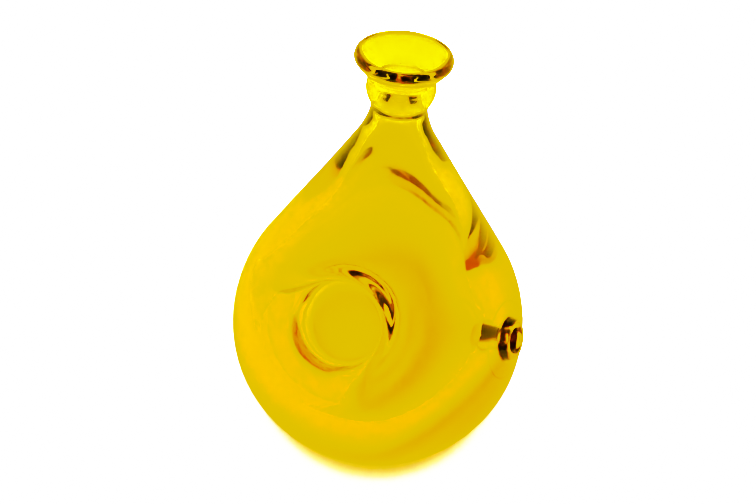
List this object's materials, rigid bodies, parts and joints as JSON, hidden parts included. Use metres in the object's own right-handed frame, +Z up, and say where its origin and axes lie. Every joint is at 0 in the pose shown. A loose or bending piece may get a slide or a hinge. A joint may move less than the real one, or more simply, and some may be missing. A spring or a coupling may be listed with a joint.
{
  "type": "blown glass flask",
  "caption": "Heavy pear-shaped blown-glass flask that lies on a ground flat, with a rising flared neck, a round well in its top and a ringed side port.",
  "frame": {"origin": "centre of the ground flat under the bulb, on the surface that the flask stands on", "axes": "+Z up; the neck rises towards +Y; the side port faces +X"},
  "size_m": [0.0654, 0.0843, 0.0894],
  "materials": {
    "amber_glass": "fire-polished transparent amber glass, 8 to 12 mm thick, with faint flow lines"
  },
  "bodies": {
    "root": {"bulb": "amber_glass", "well_cup": "amber_glass", "neck_bead": "amber_glass", "mouth_funnel": "amber_glass", "lip_ring": "amber_glass", "port_collar": "amber_glass"}
  },
  "joints": []
}
